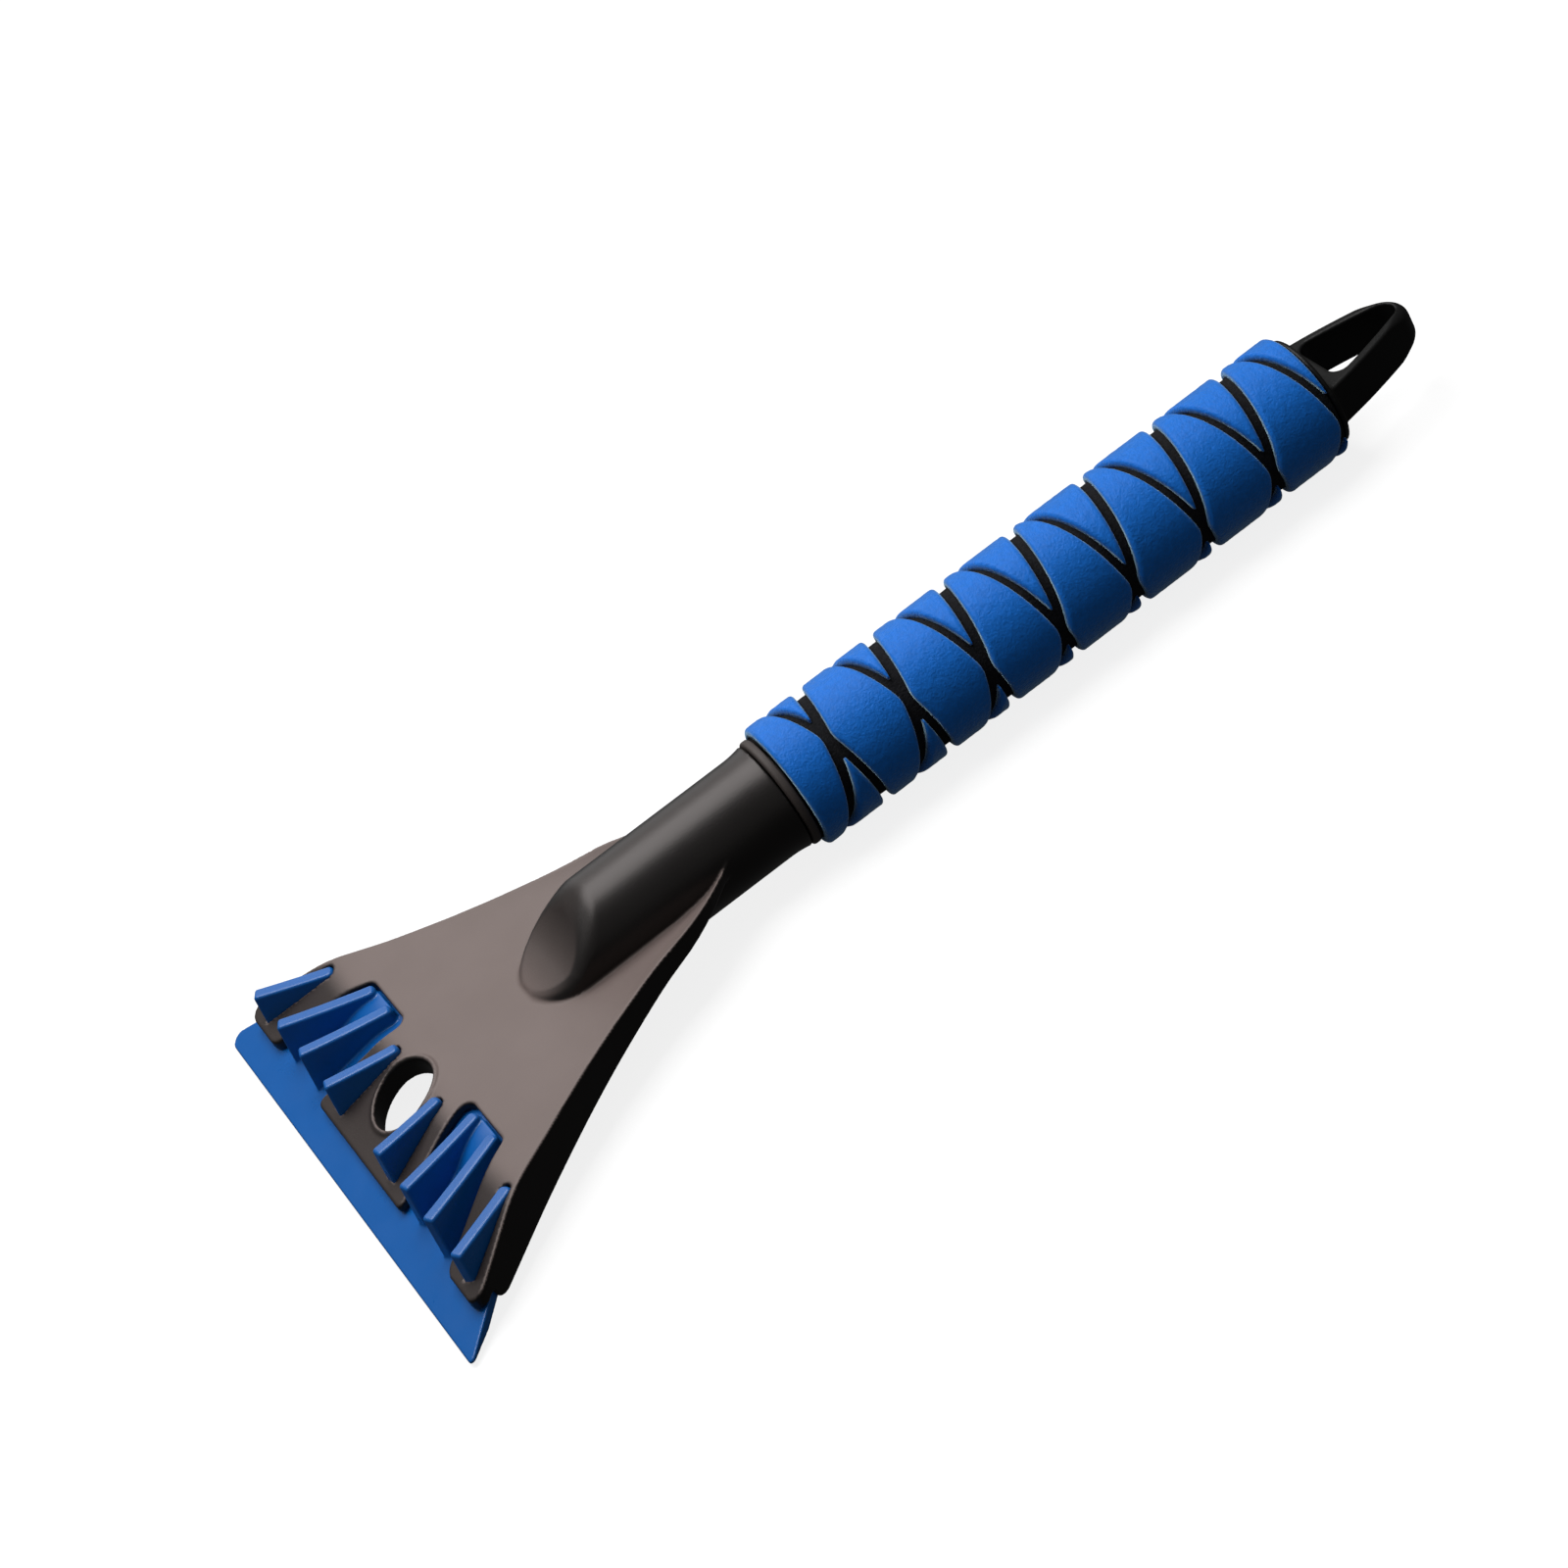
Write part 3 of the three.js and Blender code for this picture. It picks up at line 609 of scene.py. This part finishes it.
def patch_points(turn_a, turn_b, first, last):
    """A patch's cross-sections, each a closed ring of points."""
    count = max(24, int((last - first) * GRIP_RADIUS / SECTION_STEP))
    angles = np.linspace(first, last, count)
    low, high = patch_span(turn_a, turn_b, angles)
    corner = [math.pi / 2 * i / 6 for i in range(7)]
    rings = []
    for angle, start, end in zip(angles, low, high):
        wide = end - start
        bend = min(EDGE_ROUND, 0.49 * wide)
        height = GRIP_RADIUS - CORE_RADIUS
        height *= 1 - 0.45 * (1 - min(wide / 2.2, 1)) ** 2
        crown = CORE_RADIUS + height
        path = [(CORE_RADIUS + 0.05, start - 0.12)]
        path += [
            (crown - bend + bend * math.sin(a), start + bend - bend * math.cos(a)) for a in corner
        ]
        path += [
            (crown, lerp(start + bend, end - bend, i / (CROWN_POINTS + 1)))
            for i in range(1, CROWN_POINTS + 1)
        ]
        path += [
            (crown - bend + bend * math.cos(a), end - bend + bend * math.sin(a)) for a in corner
        ]
        path.append((CORE_RADIUS + 0.05, end + 0.12))
        ring = []
        for radius, y in path:
            spot = Vector((radius * math.sin(angle), y, radius * math.cos(angle)))
            if radius > CORE_RADIUS + 0.1:
                radius -= 0.05 + 0.05 * noise.noise(spot * 0.8) + 0.03 * noise.noise(spot * 1.9)
            ring.append((radius * math.sin(angle), y, radius * math.cos(angle)))
        rings.append(ring)
    return rings


def foam_patches(material):
    """The islands of foam between the grooves, numbered from the grip's front end."""
    number = 0
    for total in range(-3, 17):
        turn_a = math.ceil(total / 2)
        turn_b = total - turn_a
        if patch_angles(turn_a, turn_b, NARROWEST_PATCH) is None:
            continue
        first, last = patch_angles(turn_a, turn_b, NARROWEST_TIP)
        rings = patch_points(turn_a, turn_b, first, last)
        size = len(rings[0])
        faces = []
        for i in range(len(rings) - 1):
            a, b = i * size, (i + 1) * size
            for j in range(size):
                k = (j + 1) % size
                faces.append((a + j, a + k, b + k, b + j))
        faces.append(tuple(range(size))[::-1])
        faces.append(tuple((len(rings) - 1) * size + j for j in range(size)))
        number += 1
        patch = piece(
            f"foam_patch_{number:02d}",
            [point for ring in rings for point in ring],
            faces,
            material,
            [f"grip_patch_{number:02d}"],
        )


# ---- materials ----
def material(name, base, roughness, specular=0.5):
    """A plain material. Noise then takes over its colour, and often its roughness."""
    made = bpy.data.materials.new(name)
    made.use_nodes = True
    shader = made.node_tree.nodes["Principled BSDF"]
    shader.inputs["Base Color"].default_value = (*base, 1)
    shader.inputs["Roughness"].default_value = roughness
    shader.inputs["Specular IOR Level"].default_value = specular
    return made, made.node_tree, shader


def add(tree, kind, **values):
    """A node with its properties or its inputs set."""
    node = tree.nodes.new(kind)
    for name, value in values.items():
        if hasattr(node, name):
            setattr(node, name, value)
        else:
            node.inputs[name.replace("_", " ").title()].default_value = value
    return node


def grain(tree, scale, detail):
    """Noise in the frame's own coordinates; scale is lumps per metre."""
    where = add(tree, "ShaderNodeTexCoord")
    texture = add(tree, "ShaderNodeTexNoise", scale=scale, detail=detail)
    tree.links.new(where.outputs["Object"], texture.inputs["Vector"])
    return texture.outputs["Fac"]


def ramp(tree, value, low, high, start=0.3, end=0.7):
    """A value spread between two numbers or colours."""
    node = add(tree, "ShaderNodeValToRGB")
    for element, place, shade in zip(node.color_ramp.elements, (start, end), (low, high)):
        element.position = place
        element.color = (*shade, 1) if isinstance(shade, tuple) else (shade, shade, shade, 1)
    tree.links.new(value, node.inputs["Fac"])
    return node.outputs["Color"]


def bump(tree, shader, heights):
    """Bumps from (height socket, depth in metres) pairs."""
    last = None
    for value, depth in heights:
        node = add(tree, "ShaderNodeBump", strength=1.0, distance=depth)
        tree.links.new(value, node.inputs["Height"])
        if last:
            tree.links.new(last.outputs["Normal"], node.inputs["Normal"])
        last = node
    tree.links.new(last.outputs["Normal"], shader.inputs["Normal"])


def head_material():
    """Dark satin on the tube, and a lighter brown-grey painted sheen with higher roughness where
    the head's point attribute says.
    """
    made, tree, shader = material("satin_black", (0.03, 0.025, 0.023), 0.42, 0.36)
    top = add(tree, "ShaderNodeAttribute", attribute_name="painted_top_sheen").outputs["Fac"]
    tube = ramp(tree, grain(tree, 60, 3), (0.0055, 0.005, 0.0048), (0.0075, 0.007, 0.0068))
    # Painted sheen: this lighter brown-grey stands in for the key light's reflection on up-facing
    # faces; the dark colour above is the plastic's own.
    plate = ramp(tree, grain(tree, 60, 3), (0.124, 0.095, 0.087), (0.136, 0.105, 0.097))
    mix = add(tree, "ShaderNodeMix", data_type="RGBA")
    tree.links.new(top, mix.inputs["Factor"])
    tree.links.new(tube, mix.inputs[6])
    tree.links.new(plate, mix.inputs[7])
    tree.links.new(mix.outputs[2], shader.inputs["Base Color"])
    tree.links.new(ramp(tree, top, 0.36, 0.55, 0, 1), shader.inputs["Roughness"])
    shader.inputs["Specular Tint"].default_value = (1, 0.92, 0.9, 1)
    bump(tree, shader, [(grain(tree, 2600, 2), 0.00002)])
    return made


def blade_material():
    made, tree, shader = material("blue_plastic", (0.003, 0.085, 0.33), 0.34, 0.4)
    tree.links.new(
        ramp(tree, grain(tree, 70, 2), (0.001, 0.085, 0.32), (0.002, 0.091, 0.34)),
        shader.inputs["Base Color"],
    )
    tree.links.new(ramp(tree, grain(tree, 150, 4), 0.26, 0.36), shader.inputs["Roughness"])
    bump(tree, shader, [(grain(tree, 1200, 2), 0.000008)])
    return made


def foam_material():
    made, tree, shader = material("blue_foam", (0.004, 0.09, 0.42), 0.5, 0.16)
    tree.links.new(
        ramp(tree, grain(tree, 900, 3), (0.001, 0.118, 0.49), (0.002, 0.14, 0.585)),
        shader.inputs["Base Color"],
    )
    shader.inputs["Sheen Weight"].default_value = 0.6
    shader.inputs["Sheen Roughness"].default_value = 0.38
    shader.inputs["Sheen Tint"].default_value = (0.65, 0.95, 1, 1)
    bump(tree, shader, [(grain(tree, 1900, 3), 0.00018), (grain(tree, 5000, 2), 0.00005)])
    return made


def core_material():
    made, tree, shader = material("black_foam", (0.005, 0.005, 0.006), 0.95, 0.2)
    tree.links.new(
        ramp(tree, grain(tree, 1500, 3), (0.003, 0.003, 0.004), (0.009, 0.009, 0.01)),
        shader.inputs["Base Color"],
    )
    bump(tree, shader, [(grain(tree, 2200, 3), 0.0003)])
    return made


def plain_material(name, base, roughness, shine=0.5):
    made, tree, shader = material(name, base, roughness, shine)
    darker = tuple(0.8 * c for c in base)
    tree.links.new(ramp(tree, grain(tree, 120, 3), darker, base), shader.inputs["Base Color"])
    tree.links.new(
        ramp(tree, grain(tree, 200, 3), roughness - 0.05, roughness + 0.05),
        shader.inputs["Roughness"],
    )
    bump(tree, shader, [(grain(tree, 2600, 2), 0.00002)])
    return made


# ---- build ----
head_plastic = head_material()
cap_plastic = plain_material("black_plastic", (0.003, 0.003, 0.003), 0.42, 0.22)
collar_plastic = plain_material("collar_plastic", (0.055, 0.045, 0.041), 0.6, 0.25)

head_low, head_high = (-60, -111.5, -13), (60, -2.5, 12.8)
paint_top_sheen(
    moulded(
        "head", head, head_low, head_high, CELL, head_plastic, "scraper_head"
    )
)
blade_low, blade_high, blade_cell = (-67.5, -118, -14.5), (67.5, -82.5, 0.8), CELL * 0.75
moulded(
    "blade",
    blade,
    blade_low,
    blade_high,
    blade_cell,
    blade_material(),
    "ice_blade",
)
cap_low, cap_high = (-13, 118.5, -13), (13, 160.5, 13)
moulded("cap", end_cap, cap_low, cap_high, CELL, cap_plastic, "end_cap")

turned(
    "collar",
    [
        (TUBE_RADIUS + GAP, -2.45),
        (COLLAR_RADIUS - 0.7, -2.45),
        (COLLAR_RADIUS - 0.35, -2.35),
        (COLLAR_RADIUS - 0.1, -2.15),
        (COLLAR_RADIUS, -1.85),
        (COLLAR_RADIUS, -1),
        (COLLAR_RADIUS - 0.12, -0.75),
        (COLLAR_RADIUS - 0.4, -0.6),
        (TUBE_RADIUS + 1.6, -0.6),
        (TUBE_RADIUS + 1.6, -0.32),
        (TUBE_RADIUS + GAP, -0.32),
    ],
    collar_plastic,
    "collar_ring",
)
core_bore = [(TUBE_RADIUS + GAP, GRIP_LENGTH), (TUBE_RADIUS + GAP, 0)]
core_skin = [(CORE_RADIUS, GRIP_LENGTH * i / 260) for i in range(261)]
core = turned(
    "core_foam",
    core_bore + core_skin,
    core_material(),
    "foam_core",
    turns=180,
    rough=0.05,
)
foam_patches(foam_material())
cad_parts["handle_tube"].data.materials.clear()
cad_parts["handle_tube"].data.materials.append(
    plain_material("tube_plastic", (0.02, 0.02, 0.02), 0.55)
)


# ---- studio ----
def floor():
    """A pale floor that lights itself and isn't seen in reflections."""
    side = 12
    mesh = bpy.data.meshes.new("floor")
    mesh.from_pydata(
        [(-side, -side, 0), (side, -side, 0), (side, side, 0), (-side, side, 0)], [], [(0, 1, 2, 3)]
    )
    made = bpy.data.objects.new("floor", mesh)
    look, _, shader = material("floor", (0.2, 0.2, 0.2), 1.0, 0.0)
    shader.inputs["Emission Color"].default_value = (1, 1, 1, 1)
    shader.inputs["Emission Strength"].default_value = 0.84
    mesh.materials.append(look)
    made.location.z = cad_box[0].z - 0.0003
    bpy.context.scene.collection.objects.link(made)
    made.visible_glossy = False
    made.visible_diffuse = False


def softbox(name, place, wide, deep, watts):
    """An area light at a place relative to the object's middle, facing it."""
    light = bpy.data.lights.new(name, "AREA")
    light.shape = "RECTANGLE"
    light.size = wide
    light.size_y = deep
    light.energy = watts
    made = bpy.data.objects.new(name, light)
    centre = (cad_box[0] + cad_box[1]) / 2
    made.location = centre + Vector(place)
    made.rotation_euler = (-Vector(place)).to_track_quat("-Z", "Y").to_euler()
    bpy.context.scene.collection.objects.link(made)


floor()
softbox("key", (-0.19, -0.05, 0.62), 0.62, 0.55, 6.2)
softbox("rim", (-0.6, -0.05, 0.26), 0.36, 0.6, 0.6)

world = bpy.data.worlds.new("studio")
bpy.context.scene.world = world
world.use_nodes = True
sky = world.node_tree
where = add(sky, "ShaderNodeTexCoord")
split = add(sky, "ShaderNodeSeparateXYZ")
sky.links.new(where.outputs["Generated"], split.inputs["Vector"])
sky.links.new(
    ramp(sky, split.outputs["Z"], 0.05, 0.22, 0.0, 0.3), sky.nodes["Background"].inputs["Color"]
)

# ---- camera ----
# A long lens, above the blade's right side and well out from the handle.
camera = bpy.data.cameras.new("camera")
camera.sensor_width = 36
camera.lens = 98.37
camera.clip_start = 0.01
seen_from = bpy.data.objects.new("camera", camera)
bpy.context.scene.collection.objects.link(seen_from)
bpy.context.scene.camera = seen_from
right = Vector((0.43843287, 0.79027619, -0.4280656))
up = -Vector((0.40269838, -0.59852989, -0.69252869))
back = right.cross(up)
turn = Matrix((right, up, back)).transposed().to_4x4()
turn.translation = (0.682188, -0.132639, 0.508199)
seen_from.matrix_world = turn

bpy.context.scene.view_settings.view_transform = "Standard"
